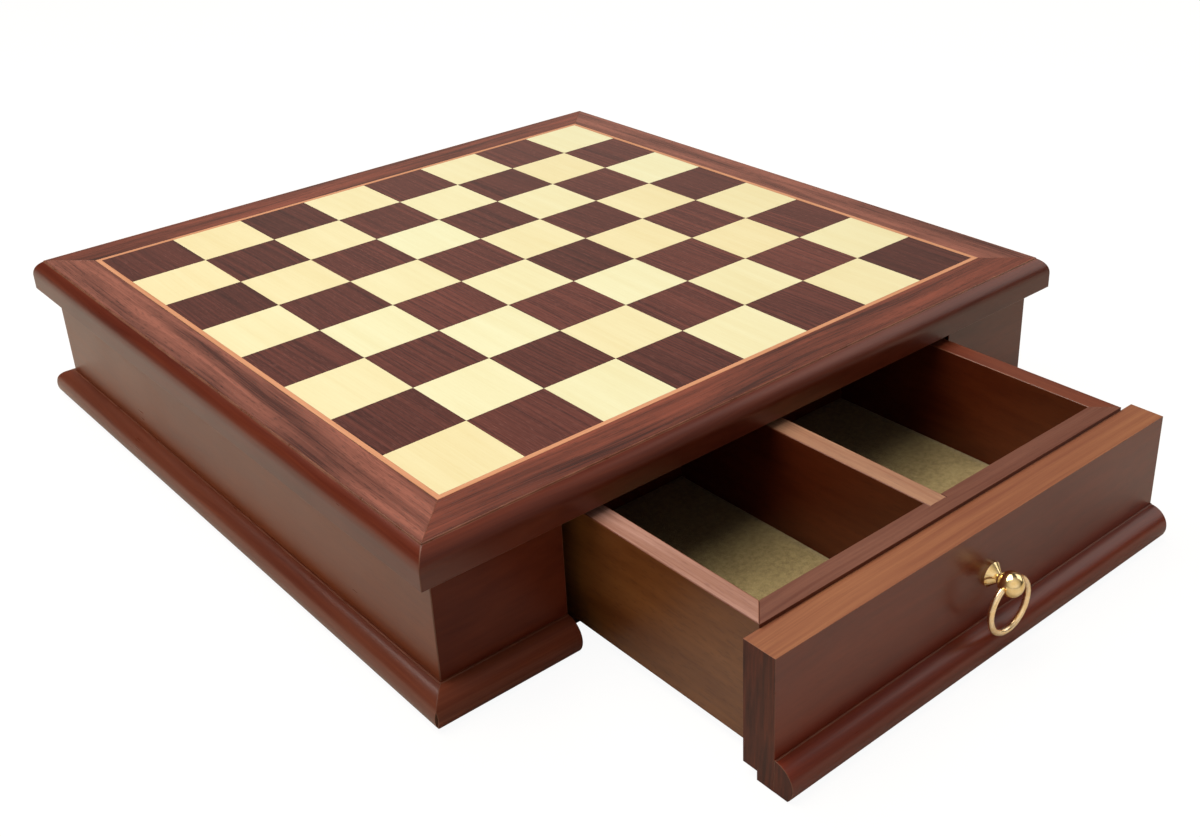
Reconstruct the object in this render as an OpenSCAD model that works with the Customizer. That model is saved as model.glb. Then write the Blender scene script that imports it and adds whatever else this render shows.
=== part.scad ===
// Chess box: an inlaid chessboard on a shallow cabinet, with one drawer in the front
// and one in the back. Each drawer is a felt-lined tray behind a moulded front with a ring pull.
// +Z is up, the front is -Y, and the origin is the centre of the resting face.
// Everything is in millimetres. Left and right are as seen from the front of each drawer.

/* [Playing field] */
// Side of one square
square = 38; // [34:0.5:46]
// Width of the light line round the field
stringing_w = 2.3; // [1.5:0.1:4]
// Width of the veneered border outside the line
border_w = 18.9; // [14:0.1:26]
// Thickness of all veneers on the board
veneer_t = 0.6; // [0.4:0.1:1]
// Glue line between neighbouring veneers
glue_line = 0.1; // [0.05:0.05:0.2]

/* [Top board] */
// Thickness of the board with its veneers
top_t = 15.2; // [13:0.1:20]
// Width of the solid wood lipping on each edge
lipping_w = 5.4; // [4.5:0.1:8]
// Radius of the lipping's rounded edge
lipping_r = 8.4; // [8:0.1:10]
// Small step between the border and the rounded edge
lipping_step = 0.5; // [0.3:0.1:1]
// How far the lipping stands out past the walls
top_overhang = 7.6; // [6.5:0.1:12]

/* [Cabinet] */
// Height from the table to the playing field
box_h = 76; // [72:0.5:95]
// Thickness of the walls
wall_t = 12; // [9:0.5:12.5]
// Width of the front beside the drawer
stile_w = 58; // [45:0.5:70]
// Thickness of the floor panel
floor_t = 4; // [3:0.1:4.2]
// Thickness of the panel over the drawers
lid_t = 2.5; // [2:0.1:3]
// Thickness of the partition between the drawers
partition_t = 6; // [4:0.5:10]
// Height of the side runners
runner_h = 18; // [12:0.5:30]

/* [Base moulding] */
// Height of the base rails
base_h = 14.3; // [14:0.1:16]
// Depth of the base rails behind the wall faces
base_in = 8.5; // [6:0.1:8.8]
// Radius of the rounded bead
bead_r = 7.9; // [7:0.1:8]
// How far the bead's centre stands out from the wall
bead_out = 0.6; // [0.2:0.1:1.2]
// Height of the bead's centre
bead_z = 6.1; // [5:0.1:6.3]
// Width of the fine edge between wall and bead
quirk_w = 0.6; // [0.3:0.1:1]

/* [Drawer fronts] */
// Thickness of a drawer front
front_t = 14.6; // [13:0.1:18]
// Gap at each side of a drawer front
front_gap = 0.5; // [0.4:0.1:1]
// Gap over a drawer front
front_top_gap = 2.6; // [1:0.1:3]
// Gap between a drawer front's toe and the table
toe_lift = 0.4; // [0.3:0.1:1.5]
// Depth of the rebate behind the toe
toe_rebate = 6.6; // [6.1:0.1:8]
// How far the front drawer stands open
front_open = 108.5; // [0:0.1:118]

/* [Trays] */
// Thickness of a tray's walls
tray_t = 9.3; // [7:0.1:11]
// Gap between a tray and the side of its opening
tray_side_gap = 8.2; // [5:0.1:10]
// Gap over a tray
tray_top_gap = 1.1; // [0.6:0.1:2]
// Gap under the trays and the rebates of the fronts
sliding_gap = 0.3; // [0.3:0.1:0.6]
// Thickness of a tray's floor
tray_floor_t = 3; // [2:0.1:4]
// Depth of the grooves that hold the floor and the divider
groove = 3; // [2:0.1:4]
// Height of the groove for the floor over a tray's lower edge
floor_up = 2; // [1.5:0.1:4]
// Thickness of the divider
divider_t = 9.6; // [6:0.1:11]
// How far the divider stands left of the tray's middle
divider_shift = 4.9; // [0:0.1:10]
// Thickness of the felt
felt_t = 1.2; // [0.8:0.1:2]

/* [Ring pulls] */
// Height of a pull above the table
pull_z = 33.8; // [33:0.1:38]
// Radius of the rose against the drawer front
rose_r = 5; // [4:0.1:6]
// Height of the rose's rim
rose_rim = 1.4; // [1:0.1:2.5]
// Height of the rose
rose_h = 4.4; // [4:0.1:4.6]
// Radius of the neck between rose and ball
neck_r = 1.9; // [1.8:0.1:2.4]
// Radius of the ball
ball_r = 5; // [4.4:0.1:5.2]
// How far the ball's centre stands out from the drawer front
ball_out = 9.7; // [9.6:0.1:11.5]
// Radius of the ring, to the middle of its wire
ring_r = 11; // [10:0.1:12]
// Radius of the ring's wire
wire_r = 1.3; // [1:0.05:1.4]
// Radius of the pins at the ring's ends
pin_r = 0.8; // [0.6:0.05:0.9]

/* [Screws] */
// Radius of the wood screws
screw_r = 1.75; // [1.5:0.05:2]
// Radius of the wood screws' countersunk heads
screw_head_r = 3.4; // [3:0.1:4]
// Length of the wood screws
screw_len = 16; // [14:0.5:18]
// Radius of the screw that holds a pull
pull_screw_r = 1.5; // [1.2:0.05:1.5]
// Radius of that screw's head
pull_head_r = 3.6; // [3:0.1:4]

/* [Hidden] */
$fn = 64;

MAHOGANY = "#5a2a1e";
ROSEWOOD = "#4a2a26";
MAPLE = "#e8d2a0";
PEACH = "#c98f62";
CORE = "#6b4a36";
TRAY = "#6e4030";
FELT = "#6f6846";
BRASS = "#d9a94e";
STEEL = "#b8b8bc";

// Board
files = 8;
field_half = files * square / 2;
string_half = field_half + stringing_w;
border_half = string_half + border_w;
top_half = border_half + lipping_w;
board_z = box_h - top_t;
veneer_z = box_h - veneer_t;

// Cabinet
body_half = top_half - top_overhang;
wall_in = body_half - wall_t;
opening_half = body_half - stile_w;
lid_z = board_z - lid_t;
floor_half = body_half - base_in;
reach = 2 * body_half;
over = 1;
// The lid panel's front edge stays just behind the face of the wall under the lipping
lid_setback = 0.5;

// Drawer fronts
front_half = opening_half - front_gap;
front_top = lid_z - front_top_gap;
rebate_z = floor_t + sliding_gap;
front_back_y = front_t - body_half;

// Trays, closed: y runs from the drawer front's back to just short of the partition
tray_half = opening_half - tray_side_gap;
tray_z = rebate_z;
tray_top = lid_z - tray_top_gap;
tray_end_gap = 1.5;
tray_y = [front_back_y, -partition_t / 2 - tray_end_gap];
tray_floor_z = tray_z + floor_up;
tray_floor_top = tray_floor_z + tray_floor_t;
tray_outer = [
    [-tray_half, tray_y[0]], [tray_half, tray_y[0]],
    [tray_half, tray_y[1]], [-tray_half, tray_y[1]]
];
tray_inner = [
    [tray_t - tray_half, tray_y[0] + tray_t], [tray_half - tray_t, tray_y[0] + tray_t],
    [tray_half - tray_t, tray_y[1] - tray_t], [tray_t - tray_half, tray_y[1] - tray_t]
];
tray_inner_len = tray_inner[3][1] - tray_inner[0][1];
divider_x = [-divider_shift - divider_t / 2, -divider_shift + divider_t / 2];
compartments_x = [[tray_inner[0][0], divider_x[0]], [divider_x[1], tray_inner[1][0]]];

// Runners
runner_gap = 0.4;
runner_end_gap = 0.9;
runner_in = tray_half + runner_gap;
runner_w = opening_half - runner_in;
runner_half_len = -front_back_y - runner_end_gap;

// Screws
screw_play = 0.05;
screw_head_h = 2;
screw_tip = 3;
cross_w = 0.9;
cross_len = 3.6;
cross_depth = 1.1;
face_screw_side = 0.55;
face_screw_up = [0.35, 0.75];
runner_screw_side = 0.8;
face_screw_x = face_screw_side * tray_half;
face_screw_z = [for (share = face_screw_up) tray_z + share * (tray_top - tray_z)];
runner_screw_y = [for (share = [-1, 0, 1]) share * runner_screw_side * runner_half_len];
screw_recess = 0.3;
pull_head_h = 2.4;
pull_screw_grip = 4;

// Ring pull: the ring's two ends carry pins that turn in a bore across the ball
ring_ball_gap = 0.8;
ring_end_x = ball_r + ring_ball_gap;
ring_end_angle = asin(ring_end_x / ring_r);
ring_drop = sqrt(ring_r * ring_r - ring_end_x * ring_end_x);
pin_start = 1;
pin_in_wire = 0.6;
pin_end = ring_end_x + pin_in_wire;
pivot_play = 0.05;

// ---- shared shapes ----

// Extrudes a profile along the front edge: its x is the distance out from y, its y is the height
module along_front(y, length)
    translate([length / 2, -y, 0]) rotate([90, 0, -90]) linear_extrude(length) children();

// Turns a front piece to one side of the cabinet and cuts both its ends to 45 degrees
module mitred(angle)
    rotate([0, 0, angle]) intersection() {
        children();
        translate([0, 0, -over]) linear_extrude(box_h + 2 * over)
            polygon([[0, 0], [-reach, -reach], [reach, -reach]]);
    }

// Keeps the part of a front piece beside the drawer opening: side is -1 for left, 1 for right
module beside_opening(side)
    intersection() {
        children();
        translate([side * (opening_half + reach / 2), 0, box_h / 2])
            cube([reach, 2 * reach, 2 * box_h], center = true);
    }

// Cross-section of the lipping: flush with the veneer, a small step, then a rounded edge
module lipping_profile() {
    round_x = lipping_w - lipping_r;
    round_top = box_h - lipping_step;
    round_z = round_top - sqrt(lipping_r * lipping_r - (lipping_step - round_x) * (lipping_step - round_x));
    translate([0, board_z]) square([lipping_w, round_z - board_z]);
    translate([0, board_z]) square([lipping_step, top_t]);
    intersection() {
        translate([round_x, round_z]) circle(lipping_r);
        translate([0, round_z]) square([lipping_w, round_top - round_z]);
    }
}

// The rounded bead that stands out from the foot of the box, with the fine edge above it
module bead_profile(bottom) {
    intersection() {
        translate([bead_out, bead_z]) circle(bead_r);
        translate([0, bottom]) square([2 * bead_r, base_h - bottom]);
    }
    translate([0, bottom]) square([quirk_w, base_h - bottom]);
}

module base_profile() {
    bead_profile(0);
    translate([-base_in, 0]) square([base_in, base_h]);
}

module wall() along_front(body_half, 2 * body_half)
    translate([-wall_t, base_h]) square([wall_t, board_z - base_h]);

module base_rail() along_front(body_half, 2 * top_half) base_profile();

module lipping() along_front(border_half, 2 * top_half) lipping_profile();

module border_strip() along_front(string_half, 2 * border_half)
    translate([glue_line, veneer_z]) square([border_w - glue_line, veneer_t]);

module runner(side)
    translate([side * (runner_in + runner_w / 2), 0, floor_t + runner_h / 2])
        cube([runner_w, 2 * runner_half_len, runner_h], center = true);

// Every second square of the field: first is 0 for the light squares, 1 for the dark ones
module squares(first)
    for (file = [0 : files - 1], rank = [0 : files - 1])
        if ((file + rank) % 2 == first)
            translate([file * square - field_half + glue_line / 2,
                       rank * square - field_half + glue_line / 2, veneer_z])
                cube([square - glue_line, square - glue_line, veneer_t]);

// A countersunk wood screw that points up, with its head at the origin
module screw_solid(grow)
    rotate_extrude() polygon([
        [0, 0], [screw_head_r + grow, 0], [screw_r + grow, screw_head_h],
        [screw_r + grow, screw_len - screw_tip], [0, screw_len + grow]
    ]);

module wood_screw() difference() {
    screw_solid(0);
    for (turn = [0, 90]) rotate([0, 0, turn])
        translate([-cross_len / 2, -cross_w / 2, -over]) cube([cross_len, cross_w, cross_depth + over]);
}

module screw_hole() {
    screw_solid(screw_play);
    translate([0, 0, -over]) cylinder(r = screw_head_r + screw_play, h = over + screw_play);
}

module at_runner_screws()
    for (side = [-1, 1], y = runner_screw_y)
        translate([side * (runner_in + runner_w / 2), y, screw_recess]) children();

// Four screws through the tray's front into the drawer front
module at_face_screws()
    for (side = [-1, 1], z = face_screw_z)
        translate([side * face_screw_x, tray_y[0] + tray_t, z]) rotate([90, 0, 0]) children();

// ---- one drawer, closed, in the front of the cabinet ----

module drawer_face() difference() {
    along_front(body_half, 2 * front_half) polygon([
        [0, toe_lift], [0, front_top], [-front_t, front_top], [-front_t, rebate_z],
        [toe_rebate - front_t, rebate_z], [toe_rebate - front_t, toe_lift]
    ]);
    at_face_screws() screw_hole();
    translate([0, front_back_y + over, pull_z]) rotate([90, 0, 0]) {
        cylinder(r = pull_screw_r + screw_play, h = front_t + 2 * over);
        cylinder(r = pull_head_r + screw_play, h = over + pull_head_h + screw_play);
    }
}

module drawer_moulding() along_front(body_half, 2 * front_half) bead_profile(toe_lift);

// Wall number side of the tray, mitred at both ends: 0 front, 1 right, 2 back, 3 left
module tray_wall(side) {
    next = (side + 1) % 4;
    difference() {
        translate([0, 0, tray_z]) linear_extrude(tray_top - tray_z)
            polygon([tray_outer[side], tray_outer[next], tray_inner[next], tray_inner[side]]);
        tray_floor();
        tray_divider();
        at_face_screws() screw_hole();
    }
}

module tray_floor()
    translate([tray_inner[0][0] - groove, tray_inner[0][1] - groove, tray_floor_z])
        cube([2 * (tray_half - tray_t + groove),
              tray_inner_len + 2 * groove, tray_floor_t]);

module tray_divider()
    translate([divider_x[0], tray_inner[0][1] - groove, tray_floor_top])
        cube([divider_t, tray_inner_len + 2 * groove, tray_top - tray_floor_top]);

// A piece of felt in each compartment
module tray_felt()
    for (x = compartments_x)
        translate([x[0], tray_inner[0][1], tray_floor_top]) cube([x[1] - x[0], tray_inner_len, felt_t]);

module face_screws() at_face_screws() wood_screw();

// Places a shape that points up so that it points out from the drawer front at the pull
module at_pull() translate([0, -body_half, pull_z]) rotate([90, 0, 0]) children();

// Turned in one piece: a rose with a thin rim, a short neck and a ball with a bore across it
module pull_post() at_pull() difference() {
    union() {
        rotate_extrude() polygon([
            [0, 0], [rose_r, 0], [rose_r, rose_rim], [neck_r, rose_h], [neck_r, ball_out], [0, ball_out]
        ]);
        translate([0, 0, ball_out]) sphere(r = ball_r);
    }
    translate([0, 0, -over]) cylinder(r = pull_screw_r + screw_play, h = pull_screw_grip + over);
    translate([0, 0, ball_out]) rotate([0, 90, 0])
        cylinder(r = pin_r + pivot_play, h = 2 * (ball_r + over), center = true);
}

// A pan-head screw in a counterbore behind the drawer front
module pull_screw() at_pull() translate([0, 0, -front_t]) difference() {
    union() {
        cylinder(r = pull_head_r, h = pull_head_h);
        cylinder(r = pull_screw_r, h = front_t + pull_screw_grip - screw_play);
    }
    for (turn = [0, 90]) rotate([0, 0, turn])
        translate([-cross_len / 2, -cross_w / 2, -over]) cube([cross_len, cross_w, cross_depth + over]);
}

// The open ring hangs straight down from the pins at its two ends
module pull_ring() translate([0, -body_half - ball_out, pull_z]) {
    translate([0, 0, -ring_drop]) rotate([90, 0, 0]) rotate([0, 0, 90 + ring_end_angle])
        rotate_extrude(angle = 360 - 2 * ring_end_angle) translate([ring_r, 0]) circle(wire_r);
    for (side = [-1, 1])
        translate([side * (pin_start + pin_end) / 2, 0, 0]) rotate([0, 90, 0])
            cylinder(r = pin_r, h = pin_end - pin_start, center = true);
}

module in_front() translate([0, -front_open, 0]) children();
module in_back() rotate([0, 0, 180]) children();

// ---- the board ----

module board_core() color(CORE) translate([0, 0, (board_z + veneer_z) / 2])
    cube([2 * border_half, 2 * border_half, veneer_z - board_z], center = true);
module dark_squares() color(ROSEWOOD) squares(1);
module light_squares() color(MAPLE) squares(0);
module stringing() color(PEACH) for (angle = [0 : 90 : 270]) mitred(angle)
    along_front(field_half, 2 * string_half)
        translate([0, veneer_z]) square([stringing_w, veneer_t]);
module border_front() color(ROSEWOOD) mitred(0) border_strip();
module border_right() color(ROSEWOOD) mitred(90) border_strip();
module border_back() color(ROSEWOOD) mitred(180) border_strip();
module border_left() color(ROSEWOOD) mitred(270) border_strip();
module lipping_front() color(MAHOGANY) mitred(0) lipping();
module lipping_right() color(MAHOGANY) mitred(90) lipping();
module lipping_back() color(MAHOGANY) mitred(180) lipping();
module lipping_left() color(MAHOGANY) mitred(270) lipping();

// ---- the cabinet ----

// The panel fills the top of the cabinet and comes out over both drawer fronts
module lid_panel() color(CORE) translate([0, 0, lid_z]) linear_extrude(lid_t) {
    square(2 * wall_in, center = true);
    square([2 * opening_half, 2 * (body_half - lid_setback)], center = true);
}
module wall_left() color(MAHOGANY) mitred(270) wall();
module wall_right() color(MAHOGANY) mitred(90) wall();
module stile_front_left() color(MAHOGANY) mitred(0) beside_opening(-1) wall();
module stile_front_right() color(MAHOGANY) mitred(0) beside_opening(1) wall();
module stile_back_left() color(MAHOGANY) mitred(180) beside_opening(-1) wall();
module stile_back_right() color(MAHOGANY) mitred(180) beside_opening(1) wall();
module base_left() color(MAHOGANY) mitred(270) base_rail();
module base_right() color(MAHOGANY) mitred(90) base_rail();
module base_front_left() color(MAHOGANY) mitred(0) beside_opening(-1) base_rail();
module base_front_right() color(MAHOGANY) mitred(0) beside_opening(1) base_rail();
module base_back_left() color(MAHOGANY) mitred(180) beside_opening(-1) base_rail();
module base_back_right() color(MAHOGANY) mitred(180) beside_opening(1) base_rail();
module floor_panel() color(CORE) difference() {
    translate([-floor_half, -floor_half, 0]) cube([2 * floor_half, 2 * floor_half, floor_t]);
    at_runner_screws() screw_hole();
}
module partition() color(CORE)
    translate([-runner_in, -partition_t / 2, floor_t])
        cube([2 * runner_in, partition_t, lid_z - floor_t]);
module runner_left() color(CORE) difference() {
    runner(-1);
    at_runner_screws() screw_hole();
}
module runner_right() color(CORE) difference() {
    runner(1);
    at_runner_screws() screw_hole();
}
module runner_screws() color(STEEL) at_runner_screws() wood_screw();

// ---- the front drawer ----

module front_drawer_face() color(MAHOGANY) in_front() drawer_face();
module front_drawer_moulding() color(MAHOGANY) in_front() drawer_moulding();
module front_tray_front() color(TRAY) in_front() tray_wall(0);
module front_tray_right() color(TRAY) in_front() tray_wall(1);
module front_tray_back() color(TRAY) in_front() tray_wall(2);
module front_tray_left() color(TRAY) in_front() tray_wall(3);
module front_tray_floor() color(CORE) in_front() tray_floor();
module front_tray_divider() color(TRAY) in_front() tray_divider();
module front_tray_felt() color(FELT) in_front() tray_felt();
module front_face_screws() color(STEEL) in_front() face_screws();
module front_pull_post() color(BRASS) in_front() pull_post();
module front_pull_screw() color(STEEL) in_front() pull_screw();
module front_pull_ring() color(BRASS) in_front() pull_ring();

// ---- the back drawer ----

module back_drawer_face() color(MAHOGANY) in_back() drawer_face();
module back_drawer_moulding() color(MAHOGANY) in_back() drawer_moulding();
module back_tray_front() color(TRAY) in_back() tray_wall(0);
module back_tray_right() color(TRAY) in_back() tray_wall(1);
module back_tray_back() color(TRAY) in_back() tray_wall(2);
module back_tray_left() color(TRAY) in_back() tray_wall(3);
module back_tray_floor() color(CORE) in_back() tray_floor();
module back_tray_divider() color(TRAY) in_back() tray_divider();
module back_tray_felt() color(FELT) in_back() tray_felt();
module back_face_screws() color(STEEL) in_back() face_screws();
module back_pull_post() color(BRASS) in_back() pull_post();
module back_pull_screw() color(STEEL) in_back() pull_screw();
module back_pull_ring() color(BRASS) in_back() pull_ring();

board_core();
dark_squares();
light_squares();
stringing();
border_front();
border_back();
border_left();
border_right();
lipping_front();
lipping_back();
lipping_left();
lipping_right();
lid_panel();
wall_left();
wall_right();
stile_front_left();
stile_front_right();
stile_back_left();
stile_back_right();
base_left();
base_right();
base_front_left();
base_front_right();
base_back_left();
base_back_right();
floor_panel();
partition();
runner_left();
runner_right();
runner_screws();
front_drawer_face();
front_drawer_moulding();
front_tray_front();
front_tray_right();
front_tray_back();
front_tray_left();
front_tray_floor();
front_tray_divider();
front_tray_felt();
front_face_screws();
front_pull_post();
front_pull_screw();
front_pull_ring();
back_drawer_face();
back_drawer_moulding();
back_tray_front();
back_tray_right();
back_tray_back();
back_tray_left();
back_tray_floor();
back_tray_divider();
back_tray_felt();
back_face_screws();
back_pull_post();
back_pull_screw();
back_pull_ring();
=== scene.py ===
"""The looks of the chess box: softened edges, felt, procedural materials, light and camera.

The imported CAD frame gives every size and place. Everything is in metres, in the CAD's own frame:
+Z up, the front drawer opens towards -Y, and the origin is on the table under the box's middle.
"""
import math

import bmesh
import bpy
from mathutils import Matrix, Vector, noise


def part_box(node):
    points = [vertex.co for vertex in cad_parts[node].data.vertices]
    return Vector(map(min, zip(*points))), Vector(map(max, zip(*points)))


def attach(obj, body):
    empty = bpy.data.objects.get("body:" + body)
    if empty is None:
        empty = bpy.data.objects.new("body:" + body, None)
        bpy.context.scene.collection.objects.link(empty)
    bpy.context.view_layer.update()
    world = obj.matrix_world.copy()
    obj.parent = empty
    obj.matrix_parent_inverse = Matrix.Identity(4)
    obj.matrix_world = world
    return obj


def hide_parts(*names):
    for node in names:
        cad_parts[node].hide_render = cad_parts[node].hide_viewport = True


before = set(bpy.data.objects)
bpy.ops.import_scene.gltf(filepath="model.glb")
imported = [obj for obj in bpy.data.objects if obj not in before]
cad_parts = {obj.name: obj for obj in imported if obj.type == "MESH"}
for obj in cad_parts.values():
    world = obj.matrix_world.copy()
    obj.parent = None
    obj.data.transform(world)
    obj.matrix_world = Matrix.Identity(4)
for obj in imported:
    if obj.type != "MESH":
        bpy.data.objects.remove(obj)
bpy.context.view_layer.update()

MM = 0.001
AXES = "xyz"
UP = (0, 0, 1)

# The playing field, worked out from the light line round it: the line's width, the squares in a
# row, half the field's side and a square's side
STRING_W = 2.3 * MM
FILES = 8
FIELD_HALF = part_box("stringing")[1].x - STRING_W
SQUARE = 2 * FIELD_HALF / FILES

# The camera that sees the box as the photograph does: place, turn in degrees, lens and sensor in
# millimetres, and shift
CAMERA_AT = (-0.3728, -0.5285, 0.3444)
CAMERA_TURN = (63.83, 1.99, -40.72)
CAMERA_LENS = 42.67
CAMERA_SENSOR = 36
CAMERA_SHIFT = (-0.0277, -0.0627)

# The floor: its half width, what it reflects, how brightly it glows for the camera, and how much of
# what the camera sees is that glow
FLOOR_HALF = 12
FLOOR_TONE = (0.66, 0.61, 0.52, 1)
FLOOR_ROUGHNESS = 0.9
FLOOR_GLOW = 1.08
GLOW_SHARE = 0.87

# The room: plain light from all round, and what the lacquer and the brass mirror, which is a dark
# room with two pale walls: (direction, where it fades out, where it is full, brightness)
ROOM_LIGHT = (0.10, 0.10, 0.10)
WHITE = (1.0, 1.0, 1.0)
DARK_ROOM = 0.05
PALE_WALLS = (
    ((-0.44, -0.74, 0.51), 0.30, 0.95, 0.85),
    ((0.57, 0.70, 0.43), 0.84, 0.98, 0.30),
)
WALL_TINT = (1.0, 0.92, 0.80)

# Softboxes: (name, place, side of the square, power in watts), their tint and where they are aimed
LAMPS = (
    ("lamp_top", (-0.25, 0.25, 1.35), 1.3, 29),
    ("lamp_right", (1.10, -0.55, 0.70), 0.9, 4),
)
LAMP_TINT = (1.0, 0.96, 0.90)
LAMP_TARGET = (0, 0, 0.04)

# Linear colours: the darkest and lightest tone of each wood, then its pores
MAHOGANY = ((0.082, 0.0110, 0.0045), (0.150, 0.0270, 0.0105), (0.045, 0.008, 0.003))
DRAWER = ((0.130, 0.0150, 0.0060), (0.205, 0.0310, 0.0110), (0.060, 0.011, 0.004))
BASE = ((0.125, 0.0260, 0.0125), (0.195, 0.0500, 0.0235), (0.060, 0.013, 0.005))
SIDE = ((0.150, 0.0275, 0.0070), (0.225, 0.0510, 0.0130), (0.060, 0.011, 0.004))
ROSEWOOD = ((0.038, 0.0065, 0.0055), (0.127, 0.0310, 0.0215), (0.200, 0.075, 0.060))
BORDER = ((0.044, 0.0090, 0.0060), (0.228, 0.0540, 0.0300), (0.014, 0.004, 0.002))
BORDER_SIDE = ((0.060, 0.0135, 0.0090), (0.290, 0.0960, 0.0640), (0.014, 0.004, 0.002))
MAPLE = ((0.735, 0.700, 0.425), (0.775, 0.770, 0.510), (0.620, 0.540, 0.290))
PEACH = ((0.500, 0.210, 0.095), (0.660, 0.310, 0.170), (0.250, 0.100, 0.050))
TRAY_SIDE = ((0.140, 0.0400, 0.0080), (0.250, 0.0920, 0.0240), (0.070, 0.016, 0.005))
TRAY = ((0.090, 0.0125, 0.0030), (0.150, 0.0285, 0.0075), (0.050, 0.010, 0.003))
INNER = ((0.030, 0.012, 0.008), (0.075, 0.028, 0.018), (0.014, 0.006, 0.004))

# Linear colours without pores: the darkest and lightest tone
# The rounded edges: a painted highlight, lighter than the wood, with stain rubbed thin
EDGE_HIGHLIGHT_TONES = ((0.160, 0.0480, 0.0240), (0.220, 0.0780, 0.0400))
FELT = ((0.210, 0.150, 0.055), (0.420, 0.320, 0.135))
BRASS = ((0.880, 0.635, 0.290), (0.970, 0.770, 0.450))
RING_BRASS = ((0.960, 0.700, 0.390), (0.990, 0.790, 0.540))
STEEL = ((0.420, 0.420, 0.430), (0.660, 0.660, 0.680))


# ---------------------------------------------------------------- node trees

# The sockets of a Mix node that carry colours
MIX_FIRST = 6
MIX_SECOND = 7
MIX_RESULT = 2

# The middle part of a noise, which nearly all of its values lie in
NOISE_MIDDLE = (0.3, 0.7)


class Nodes:
    """Adds and joins the nodes of one tree."""

    def __init__(self, tree):
        self.tree = tree

    def add(self, kind, **settings):
        node = self.tree.nodes.new(kind)
        for name, value in settings.items():
            setattr(node, name, value)
        return node

    def join(self, value, socket):
        """Links a socket, or sets a plain value."""
        if isinstance(value, bpy.types.NodeSocket):
            self.tree.links.new(value, socket)
        else:
            socket.default_value = value

    def math(self, operation, first, second=0.0):
        node = self.add("ShaderNodeMath", operation=operation)
        self.join(first, node.inputs[0])
        self.join(second, node.inputs[1])
        return node.outputs[0]

    def vector(self, operation, first, second=(0, 0, 0)):
        node = self.add("ShaderNodeVectorMath", operation=operation)
        self.join(first, node.inputs[0])
        self.join(second, node.inputs[1])
        return node.outputs["Value"] if operation == "DOT_PRODUCT" else node.outputs["Vector"]

    def scaled(self, vector, factor):
        """A vector or colour times one number."""
        node = self.add("ShaderNodeVectorMath", operation="SCALE")
        self.join(vector, node.inputs[0])
        self.join(factor, node.inputs["Scale"])
        return node.outputs["Vector"]

    def weigh(self, *parts):
        """The sum of values, each with its weight."""
        total = 0.0
        for value, weight in parts:
            total = self.math("ADD", self.math("MULTIPLY", value, weight), total)
        return total

    def noise(self, vector, detail=2.0, roughness=0.5, output="Fac"):
        node = self.add("ShaderNodeTexNoise")
        self.join(vector, node.inputs["Vector"])
        for name, value in (("Scale", 1.0), ("Detail", detail), ("Roughness", roughness)):
            node.inputs[name].default_value = value
        return node.outputs[output]

    def random(self, vector, output):
        """A value or a colour that differs for each vector."""
        node = self.add("ShaderNodeTexWhiteNoise", noise_dimensions="3D")
        self.join(vector, node.inputs["Vector"])
        return node.outputs[output]

    def remap(self, value, low, high, to_low=0.0, to_high=1.0):
        """Stretches the values from low to high, and clamps what lies beyond."""
        node = self.add("ShaderNodeMapRange")
        for name, part in (("Value", value), ("From Min", low), ("From Max", high),
                           ("To Min", to_low), ("To Max", to_high)):
            self.join(part, node.inputs[name])
        return node.outputs["Result"]

    def blend(self, value, dark, light, low=0.35, high=0.65):
        """A colour between dark and light, where a value lies between low and high."""
        node = self.add("ShaderNodeValToRGB")
        for element, position, colour in zip(node.color_ramp.elements, (low, high), (dark, light)):
            element.position = position
            element.color = (*colour, 1)
        self.join(value, node.inputs["Fac"])
        return node.outputs["Color"]

    def mix(self, factor, first, second):
        """The first colour at 0, the second at 1."""
        node = self.add("ShaderNodeMix", data_type="RGBA")
        self.join(factor, node.inputs[0])
        for value, socket in ((first, MIX_FIRST), (second, MIX_SECOND)):
            self.join((*value, 1) if isinstance(value, tuple) else value, node.inputs[socket])
        return node.outputs[MIX_RESULT]

    def bump(self, height, depth, strength=1.0, under=None):
        """The normal of a surface with that height, laid over another normal."""
        node = self.add("ShaderNodeBump")
        node.inputs["Strength"].default_value = strength
        node.inputs["Distance"].default_value = depth
        self.join(height, node.inputs["Height"])
        if under:
            self.join(under, node.inputs["Normal"])
        return node.outputs["Normal"]


class Shader(Nodes):
    """One material's node tree, built up round a Principled BSDF."""

    def __init__(self, name):
        self.material = bpy.data.materials.new(name)
        self.material.use_nodes = True
        super().__init__(self.material.node_tree)
        self.tree.nodes.clear()
        self.output = self.add("ShaderNodeOutputMaterial")
        self.bsdf = self.add("ShaderNodeBsdfPrincipled")
        self.join(self.bsdf.outputs[0], self.output.inputs["Surface"])
        coordinates = self.add("ShaderNodeTexCoord")
        self.place = coordinates.outputs["Object"]
        self.normal = coordinates.outputs["Normal"]

    def set(self, **values):
        """Sets or links the BSDF's own sockets, with spaces written as underscores."""
        for name, value in values.items():
            self.join(value, self.bsdf.inputs[name.replace("_", " ")])

    def speckle(self, size, **settings):
        """Even noise with spots of that size."""
        return self.noise(self.vector("MULTIPLY", self.place, (1 / size,) * 3), **settings)


# ---------------------------------------------------------------- camera, floor and light

def make_camera():
    data = bpy.data.cameras.new("camera")
    data.lens = CAMERA_LENS
    data.sensor_width = CAMERA_SENSOR
    data.shift_x, data.shift_y = CAMERA_SHIFT
    camera = bpy.data.objects.new("camera", data)
    camera.location = CAMERA_AT
    camera.rotation_euler = [math.radians(turn) for turn in CAMERA_TURN]
    bpy.context.scene.collection.objects.link(camera)
    bpy.context.scene.camera = camera


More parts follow.
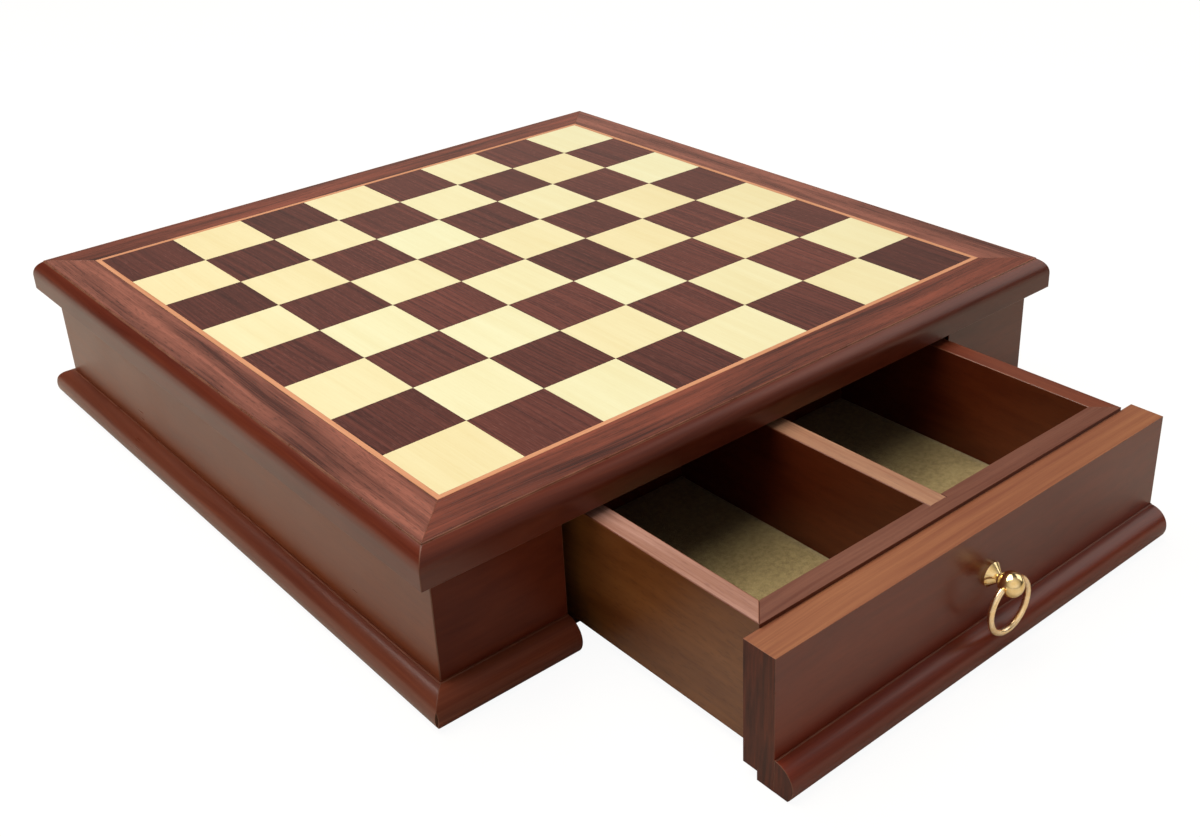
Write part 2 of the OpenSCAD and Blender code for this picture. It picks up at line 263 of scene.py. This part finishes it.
def make_floor():
    """A pale floor that keeps the shadow and is brightened for the camera only."""
    bm = bmesh.new()
    bmesh.ops.create_grid(bm, x_segments=1, y_segments=1, size=FLOOR_HALF)
    mesh = bpy.data.meshes.new("floor")
    bm.to_mesh(mesh)
    bm.free()
    floor = bpy.data.objects.new("floor", mesh)
    bpy.context.scene.collection.objects.link(floor)
    shader = Shader("floor")
    shader.set(Base_Color=FLOOR_TONE, Roughness=FLOOR_ROUGHNESS, Specular_IOR_Level=0.0)
    glow = shader.add("ShaderNodeEmission")
    glow.inputs["Strength"].default_value = FLOOR_GLOW
    shown = shader.add("ShaderNodeMixShader")
    seen = shader.add("ShaderNodeLightPath").outputs["Is Camera Ray"]
    shader.join(shader.math("MULTIPLY", seen, GLOW_SHARE), shown.inputs[0])
    shader.join(shader.bsdf.outputs[0], shown.inputs[1])
    shader.join(glow.outputs[0], shown.inputs[2])
    shader.join(shown.outputs[0], shader.output.inputs["Surface"])
    mesh.materials.append(shader.material)


def make_world():
    """White for the camera, dim as room light, and mirrored as a dark room with two pale walls."""
    world = bpy.data.worlds.new("world")
    bpy.context.scene.world = world
    world.use_nodes = True
    nodes = Nodes(world.node_tree)
    rays = nodes.add("ShaderNodeLightPath").outputs
    direction = nodes.add("ShaderNodeTexCoord").outputs["Generated"]
    studio = DARK_ROOM
    for middle, fade, full, brightness in PALE_WALLS:
        near = nodes.vector("DOT_PRODUCT", direction, middle)
        studio = nodes.math("ADD", nodes.remap(near, fade, full, 0, brightness), studio)
    room = nodes.mix(rays["Is Glossy Ray"], ROOM_LIGHT, nodes.scaled(WALL_TINT, studio))
    background = world.node_tree.nodes["Background"]
    nodes.join(nodes.mix(rays["Is Camera Ray"], room, WHITE), background.inputs["Color"])


def make_lamps():
    """A large softbox over the box and a weak one on its right."""
    for name, place, side, power in LAMPS:
        data = bpy.data.lights.new(name, "AREA")
        data.shape = "SQUARE"
        data.size = side
        data.energy = power
        data.color = LAMP_TINT
        lamp = bpy.data.objects.new(name, data)
        lamp.location = place
        aim = Vector(LAMP_TARGET) - Vector(place)
        lamp.rotation_euler = aim.to_track_quat("-Z", "Y").to_euler()
        bpy.context.scene.collection.objects.link(lamp)


# ---------------------------------------------------------------- wood

# How the whole grain wanders: over what length, and how far
WANDER_RUN = 110 * MM
WANDER = 7 * MM

# How far apart two pieces are cut from the same noise
CUT_STEP = (1.7, 2.3, 3.1)

# The figure of the wood: broad bands, year rings, fine lines and pores. Each has a length along
# the grain. Its other two sizes lie across the rings and round them, and those of the bands and the
# rings are counted in ring spacings
BAND_RUN = 110 * MM
BAND_RINGS = (4, 18)
RING_RUN = 200 * MM
RING_RINGS = (1, 11)
LINE_SIZES = (45 * MM, 0.55 * MM, 3 * MM)
PORE_SIZES = (5 * MM, 0.3 * MM, 0.7 * MM)

# The values of the pores' noise between which a pore begins, and those of the mixed figure between
# which the wood goes from dark to light
PORE_VALUES = (0.58, 0.68)
TONE_VALUES = (0.38, 0.62)

# How much bands and rings together count in the figure, and how much the fine lines do
BAND_AND_RING_SHARE = 0.75
LINE_SHARE = 0.25

# End grain: the values of the rings' noise between which its shade goes from dark to light, those
# two shades, its tint, and how sharply it begins where a face turns across the grain
END_RINGS = (0.35, 0.65)
END_SHADES = (0.30, 0.70)
END_TINT = (0.85, 1.10, 1.15)
END_POWER = 6.0

# How far up a face looks where the painted sheen on the tops begins, and where it is full
TOP_FACING = (0.5, 0.9)

# The size of smudges, how much rougher the lacquer is in them, on fine lines, in pores and on end
# grain, and what is taken off everywhere to make up for it
SMUDGE = 35 * MM
SMUDGE_ROUGH = 0.10
LINE_ROUGH = 0.06
PORE_ROUGH = 0.10
END_ROUGH = 0.35
ROUGH_OFF = 0.08

# The open grain under the lacquer: its depth, how strongly it shows, and the height of the rings in
# it. Then the lacquer's own slow waves
GRAIN_DEPTH = 0.04 * MM
GRAIN_SHOWS = 0.6
RING_HEIGHT = 0.35
COAT_WAVE = 5 * MM
COAT_DEPTH = 0.006 * MM
COAT_IOR = 1.45


class Grain(Shader):
    """A wood's node tree, with noise that is drawn out along the grain."""

    def __init__(self, name, grain_axis, ring_axis, seed, place=None):
        super().__init__(name)
        self.grain_axis = grain_axis
        self.ring_axis = ring_axis
        self.cut = [seed * step for step in CUT_STEP]
        straight = place(self) if place else self.place
        run = self.vector("MULTIPLY", straight, (1 / WANDER_RUN,) * 3)
        wander = self.scaled(self.noise(run, detail=1, output="Color"), WANDER)
        self.bent = self.vector("ADD", straight, wander)

    def streaks(self, along, across, round_the_rings, **settings):
        """Noise in streaks of that length, and of those widths across the rings and round them."""
        sizes = [across if axis == self.ring_axis else round_the_rings for axis in AXES]
        sizes[AXES.index(self.grain_axis)] = along
        stretched = self.vector("MULTIPLY", self.bent, [1 / size for size in sizes])
        return self.noise(self.vector("ADD", stretched, self.cut), **settings)

    def end_face(self):
        """1 on faces cut across the grain, 0 on faces along it."""
        along = [float(axis == self.grain_axis) for axis in AXES]
        facing = self.math("ABSOLUTE", self.vector("DOT_PRODUCT", self.normal, along))
        return self.math("POWER", facing, END_POWER)

    def top_face(self):
        """1 on faces that look up."""
        return self.remap(self.vector("DOT_PRODUCT", self.normal, UP), *TOP_FACING)


def wood(name, tones, axes, seed, ring=2.4 * MM, gloss=0.30, shine=0.5, pores=0.1, figure=0.4,
         place=None, tint=None, top_tint=None):
    """Lacquered wood. The grain runs along the first of the axes, the rings lie across the second.

    ring is the spacing of the year rings, gloss the lacquer's roughness, shine how much it mirrors,
    pores how far the pores show and figure how far the broad bands do. place gives coordinates
    other than the piece's own, tint changes the finished colour, and top_tint
    multiplies it on the faces that look up, a painted sheen that makes the tops lighter and paler.
    """
    shader = Grain(name, *axes, seed, place)
    dark, light, pore_colour = tones
    band_widths = [count * ring for count in BAND_RINGS]
    ring_widths = [count * ring for count in RING_RINGS]
    bands = shader.streaks(BAND_RUN, *band_widths, detail=3, roughness=0.55)
    rings = shader.streaks(RING_RUN, *ring_widths, detail=4, roughness=0.62)
    lines = shader.streaks(*LINE_SIZES, detail=2)
    pore = shader.remap(shader.streaks(*PORE_SIZES, detail=1), *PORE_VALUES)
    tone = shader.weigh((bands, figure), (rings, BAND_AND_RING_SHARE - figure), (lines, LINE_SHARE))
    colour = shader.blend(tone, dark, light, *TONE_VALUES)
    colour = shader.mix(shader.math("MULTIPLY", pore, pores), colour, pore_colour)

    end = shader.end_face()
    end_colour = shader.scaled(colour, shader.remap(rings, *END_RINGS, *END_SHADES))
    colour = shader.mix(end, colour, shader.vector("MULTIPLY", end_colour, END_TINT))
    if tint:
        colour = tint(shader, colour)
    # Painted sheen: faces that look up are made lighter and paler, standing in for the light and
    # reflections they catch
    if top_tint:
        facing = shader.top_face()
        painted_sheen = shader.vector("MULTIPLY", colour, top_tint)
        colour = shader.mix(facing, colour, painted_sheen)

    smudges = shader.speckle(SMUDGE, detail=3)
    uneven = shader.weigh((smudges, SMUDGE_ROUGH), (lines, LINE_ROUGH),
                          (pore, PORE_ROUGH * pores), (end, END_ROUGH))
    open_grain = shader.weigh((rings, RING_HEIGHT), (pore, -pores))
    grained = shader.bump(open_grain, GRAIN_DEPTH, GRAIN_SHOWS)
    coated = shader.bump(shader.speckle(COAT_WAVE, detail=1), COAT_DEPTH, under=grained)
    roughness = shader.math("ADD", uneven, gloss - ROUGH_OFF)
    shader.set(Base_Color=colour, Roughness=roughness, IOR=COAT_IOR,
               Specular_IOR_Level=shine, Normal=coated)
    return shader.material


# How far apart two squares are cut from the same noise, and the step from the random draw of a
# square's cut to that of its tint
SQUARE_JUMP = 3.0
TINT_STEP = (7, 3, 5)


def square_cell(shader):
    """Whole numbers that name the square of the field that a point lies in."""
    corner = shader.vector("ADD", shader.place, (FIELD_HALF, FIELD_HALF, 0))
    return shader.vector("FLOOR", shader.vector("MULTIPLY", corner, (1 / SQUARE, 1 / SQUARE, 0)))


def by_square(shader):
    """Object coordinates that jump at each square, so that each one has its own cut of veneer."""
    jump = shader.scaled(shader.random(square_cell(shader), "Color"), SQUARE_JUMP)
    return shader.vector("ADD", shader.place, jump)


def round_the_field(shader):
    """Object coordinates whose x runs along each side of the field in turn."""
    parts = shader.add("ShaderNodeSeparateXYZ")
    shader.join(shader.place, parts.inputs[0])
    x, y, z = parts.outputs
    sideways = shader.math("GREATER_THAN", shader.math("ABSOLUTE", x), shader.math("ABSOLUTE", y))
    turned = shader.add("ShaderNodeCombineXYZ")
    for value, socket in zip((y, x, z), turned.inputs):
        shader.join(value, socket)
    return shader.mix(sideways, shader.place, turned.outputs[0])


def tint_by_square(first, last):
    """Multiplies each square's colour by its own mix of two tints."""
    def tint(shader, colour):
        value = shader.random(shader.vector("ADD", square_cell(shader), TINT_STEP), "Value")
        return shader.vector("MULTIPLY", colour, shader.mix(value, first, last))
    return tint


# The axes along the grain and across the rings: 0 is a piece's longest axis and 2 its shortest
FLAT_SAWN = (0, 2)
VENEER = (0, 1)

# The board: its lacquer's roughness, and the tints that its squares lie between
BOARD_GLOSS = 0.22
LIGHT_TINTS = ((1.0, 0.89, 0.79), (1.0, 1.0, 1.0))
DARK_TINTS = ((0.75, 0.68, 0.68), (1.25, 1.28, 1.28))

# Settings of wood() for the board, the cabinet, its hidden parts and the trays
LIGHT_WOOD = {"ring": 5 * MM, "gloss": BOARD_GLOSS,
              "place": by_square, "tint": tint_by_square(*LIGHT_TINTS)}
DARK_WOOD = {"ring": 1.2 * MM, "gloss": BOARD_GLOSS, "pores": 0.3, "figure": 0.2,
             "place": by_square, "tint": tint_by_square(*DARK_TINTS)}
STRING_WOOD = {"ring": 2.2 * MM, "gloss": BOARD_GLOSS, "pores": 0.15, "place": round_the_field}
BORDER_WOOD = {"ring": 2 * MM, "gloss": BOARD_GLOSS, "pores": 0.5, "figure": 0.6}
CARCASE = {"figure": 0.3}
HIDDEN = {"ring": 2.2 * MM, "gloss": 0.55, "pores": 0.3}
TRAY_WOOD = {"ring": 1.8 * MM, "gloss": 0.32, "pores": 0.3}

# What each kind of wooden piece is made of, how its grain lies, and its settings of wood(): the
# first word that is in the piece's name counts
WOODS = (
    ("light_squares", MAPLE, "yx", LIGHT_WOOD),
    ("dark_squares", ROSEWOOD, "yx", DARK_WOOD),
    ("stringing", PEACH, "xy", STRING_WOOD),
    ("border_left", BORDER_SIDE, VENEER, BORDER_WOOD),
    ("border_right", BORDER_SIDE, VENEER, BORDER_WOOD),
    ("border", BORDER, VENEER, BORDER_WOOD),
    ("core", INNER, VENEER, HIDDEN),
    ("panel", INNER, VENEER, HIDDEN),
    ("partition", INNER, VENEER, HIDDEN),
    ("runner", INNER, VENEER, HIDDEN),
    ("tray_floor", INNER, VENEER, HIDDEN),
    # The tops of the tray walls and of the drawer face get a painted sheen, lighter and paler
    ("tray_left", TRAY_SIDE, FLAT_SAWN, TRAY_WOOD | {"top_tint": (1.85, 2.75, 8.2)}),
    ("tray_divider", TRAY, FLAT_SAWN, TRAY_WOOD | {"top_tint": (2.8, 8.0, 18.0)}),
    ("tray_right", TRAY, FLAT_SAWN, TRAY_WOOD | {"top_tint": (1.2, 1.5, 2.3)}),
    ("tray_front", TRAY, FLAT_SAWN, TRAY_WOOD | {"top_tint": (1.25, 2.5, 5.8)}),
    ("tray", TRAY, FLAT_SAWN, TRAY_WOOD),
    ("drawer_face", DRAWER, FLAT_SAWN, CARCASE | {"top_tint": (1.5, 3.8, 4.6)}),
    ("drawer", DRAWER, FLAT_SAWN, CARCASE),
    ("wall", SIDE, FLAT_SAWN, CARCASE),
    ("base_front_left", BASE, FLAT_SAWN, CARCASE | {"shine": 0.2}),
    ("base", BASE, FLAT_SAWN, CARCASE),
    ("stile_front_left", MAHOGANY, FLAT_SAWN, CARCASE | {"shine": 0.15}),
    ("", MAHOGANY, FLAT_SAWN, CARCASE),
)


def wood_of(node, seed):
    """The wood of one CAD node, with its grain along the piece."""
    tones, lie, settings = next(rest for word, *rest in WOODS if word in node)
    low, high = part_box(node)
    sizes = {axis: end - start for axis, start, end in zip(AXES, low, high)}
    by_length = sorted(AXES, key=sizes.get, reverse=True)
    axes = lie if isinstance(lie, str) else [by_length[rank] for rank in lie]
    return wood(node + "_wood", tones, axes, seed, **settings)


# ---------------------------------------------------------------- the other materials

# Rounded edges, with a painted highlight and stain rubbed thin: the size of the worn spots, and
# the roughness from the least worn to the most
EDGE_SPOT = 9 * MM
EDGE_SPOT_ROUGH = (0.25, 0.45)

# Felt: the sizes of its fibres, tufts and worn patches, how much each counts in its tone, and how
# deep the fibres stand and how strongly that shows
FIBRE = 0.5 * MM
TUFT = 2.2 * MM
PATCH = 26 * MM
FIBRE_SHARE = 0.40
TUFT_SHARE = 0.35
PATCH_SHARE = 0.25
FIBRE_DEPTH = 0.35 * MM
FIBRE_SHOWS = 0.8

# Metals: (word in the node's name, material, tones, size of the cast unevenness, size of the rub
# marks, least and most roughness, depth of the unevenness), and how strongly the unevenness shows
METALS = (
    ("screw", "steel", STEEL, 1.5 * MM, 0.5 * MM, (0.28, 0.42), 0.02 * MM),
    ("pull_ring", "ring_brass", RING_BRASS, 2.5 * MM, 0.4 * MM, (0.18, 0.30), 0.05 * MM),
    ("pull", "brass", BRASS, 2.5 * MM, 0.4 * MM, (0.12, 0.22), 0.08 * MM),
)
CAST_SHOWS = 0.5


def rubbed_edge_highlight():
    """A painted highlight along an edge, with stain rubbed thin in spots."""
    shader = Shader("rubbed_edge_highlight")
    edge_spots = shader.speckle(EDGE_SPOT, detail=3)
    colour = shader.blend(edge_spots, *EDGE_HIGHLIGHT_TONES)
    roughness = shader.remap(edge_spots, *NOISE_MIDDLE, *EDGE_SPOT_ROUGH)
    shader.set(Base_Color=colour, Roughness=roughness, IOR=COAT_IOR)
    return shader.material


def felt():
    """Short olive flock with worn, paler patches."""
    shader = Shader("felt_flock")
    fibres = shader.speckle(FIBRE, detail=3, roughness=0.8)
    tufts = shader.speckle(TUFT, detail=3, roughness=0.6)
    patches = shader.speckle(PATCH, detail=3)
    tone = shader.weigh((fibres, FIBRE_SHARE), (tufts, TUFT_SHARE), (patches, PATCH_SHARE))
    colour = shader.blend(tone, *FELT, *TONE_VALUES)
    nap = shader.bump(fibres, FIBRE_DEPTH, FIBRE_SHOWS)
    shader.set(Base_Color=colour, Roughness=1.0, Specular_IOR_Level=0.1,
               Sheen_Weight=0.2, Sheen_Roughness=0.6, Normal=nap)
    return shader.material


def metal(name, tones, cast, rub, roughness, depth):
    """Metal with a faint unevenness of that size, and finer rub marks in its gloss."""
    shader = Shader(name)
    uneven = shader.speckle(cast, detail=2)
    marks = shader.speckle(rub, detail=3)
    colour = shader.blend(uneven, *tones)
    gloss = shader.remap(marks, *NOISE_MIDDLE, *roughness)
    normal = shader.bump(uneven, depth, CAST_SHOWS)
    shader.set(Base_Color=colour, Metallic=1.0, Roughness=gloss, Normal=normal)
    return shader.material


# ---------------------------------------------------------------- CAD pieces

# How far the sharp edges of each kind of piece are rounded: the first word that is in the piece's
# name counts. Pieces with one of the other words in their names are left as they are
EDGES = (("border", 0.12 * MM), ("lipping", 0.3 * MM), ("wall", 0.35 * MM), ("stile", 0.35 * MM),
         ("base", 0.35 * MM), ("drawer", 0.4 * MM), ("tray", 0.4 * MM), ("", 0.3 * MM))
KEPT_SHARP = ("squares", "stringing", "pull", "screw")

# Rounding: how near two points become one, below how many degrees two faces become one, over how
# many degrees an edge is rounded, in how many steps, and the material slot of the rounding
WELD = 0.002 * MM
FLAT = 0.5
SHARP = 30
EDGE_STEPS = 3
EDGE_HIGHLIGHT_SLOT = 1


def soften(piece, width):
    """Rounds a CAD piece's sharp edges by a little, as sanding and lacquer do."""
    mesh = piece.data
    if "custom_normal" in mesh.attributes:
        mesh.attributes.remove(mesh.attributes["custom_normal"])
    mesh.polygons.foreach_set("use_smooth", [True] * len(mesh.polygons))
    weld = piece.modifiers.new("weld", "WELD")
    weld.merge_threshold = WELD
    flat = piece.modifiers.new("flat_faces", "DECIMATE")
    flat.decimate_type = "DISSOLVE"
    flat.angle_limit = math.radians(FLAT)
    bevel = piece.modifiers.new("soft_edges", "BEVEL")
    bevel.width = width
    bevel.segments = EDGE_STEPS
    bevel.limit_method = "ANGLE"
    bevel.angle_limit = math.radians(SHARP)
    bevel.harden_normals = True
    # The rounding carries the painted edge highlight
    bevel.material = EDGE_HIGHLIGHT_SLOT


def dress_nodes():
    """Gives each CAD piece its finish, and the rounded edges of the wooden ones a painted highlight
    with stain rubbed thin.
    """
    metals = {word: metal(*settings) for word, *settings in METALS}
    painted_edge = rubbed_edge_highlight()
    for seed, node in enumerate(sorted(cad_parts)):
        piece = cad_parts[node]
        finish = next((finish for word, finish in metals.items() if word in node), None)
        piece.data.materials.clear()
        piece.data.materials.append(finish or wood_of(node, seed))
        if not any(word in node for word in KEPT_SHARP):
            piece.data.materials.append(painted_edge)
            soften(piece, next(width for word, width in EDGES if word in node))


# ---------------------------------------------------------------- felt

# The felt's mesh: its cells, how deep and how long its waves are, and how far in and down its cut
# edges are rounded
FELT_CELL = 4 * MM
FELT_UNEVEN = 0.25 * MM
FELT_WAVE = 18 * MM
FELT_EDGE = 0.5 * MM

# The drawers, with their compartments from -X to +X, each named as seen from its drawer's front
DRAWERS = (("front", ("left", "right")), ("back", ("right", "left")))


def felt_height(x, y, low, high, seed):
    """The top of the felt at a point: a little uneven, and rounded down along its cut edges."""
    wave = 0.5 + 0.5 * noise.noise(Vector((x, y, seed)) / FELT_WAVE)
    edge = min(x - low.x, high.x - x, y - low.y, high.y - y)
    fall = FELT_EDGE if edge < FELT_EDGE else 0
    return high.z - FELT_UNEVEN * wave - fall


def spread(low, high):
    """Places from low to high about a felt cell apart, with one close to each end."""
    count = round((high - low) / FELT_CELL)
    inner = [low + (high - low) * step / count for step in range(1, count)]
    return [low, low + FELT_EDGE, *inner, high - FELT_EDGE, high]


def sides_of(grid):
    """The four sides of a grid of points, in turn round it."""
    start = [row[0] for row in grid]
    end = [row[-1] for row in grid]
    return grid[0], end, grid[-1][::-1], start[::-1]


def felt_sheet(name, low, high, seed):
    """One thin closed sheet of felt that fills the floor of a compartment."""
    columns = spread(low.x, high.x)
    rows = spread(low.y, high.y)
    bm = bmesh.new()
    top = [[bm.verts.new((x, y, felt_height(x, y, low, high, seed))) for x in columns]
           for y in rows]
    bottom = [[bm.verts.new((x, y, low.z)) for x in columns] for y in rows]
    for row in range(len(rows) - 1):
        for column in range(len(columns) - 1):
            for layer, turn in ((top, 1), (bottom, -1)):
                corners = [layer[row][column], layer[row][column + 1],
                           layer[row + 1][column + 1], layer[row + 1][column]]
                bm.faces.new(corners[::turn])
    for upper, lower in zip(sides_of(top), sides_of(bottom)):
        for start in range(len(upper) - 1):
            bm.faces.new((lower[start], lower[start + 1], upper[start + 1], upper[start]))
    mesh = bpy.data.meshes.new(name)
    bm.to_mesh(mesh)
    bm.free()
    mesh.polygons.foreach_set("use_smooth", [True] * len(mesh.polygons))
    sheet = bpy.data.objects.new(name, mesh)
    bpy.context.scene.collection.objects.link(sheet)
    return sheet


def line_drawers():
    """Glues a sheet of felt into both compartments of each drawer."""
    flock = felt()
    for seed, (drawer, sides) in enumerate(DRAWERS):
        low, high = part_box(drawer + "_tray_felt")
        wall_low, wall_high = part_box(drawer + "_tray_divider")
        for side, start, end in zip(sides, (low.x, wall_high.x), (wall_low.x, high.x)):
            name = f"{drawer}_felt_{side}"
            corner = Vector((start, low.y, low.z))
            far_corner = Vector((end, high.y, high.z))
            sheet = felt_sheet(name, corner, far_corner, seed)
            sheet.data.materials.append(flock)
            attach(sheet, drawer + "_drawer")
            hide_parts(drawer + "_tray_felt")


make_camera()
make_floor()
make_world()
make_lamps()
dress_nodes()
line_drawers()

bpy.context.scene.view_settings.view_transform = "Standard"
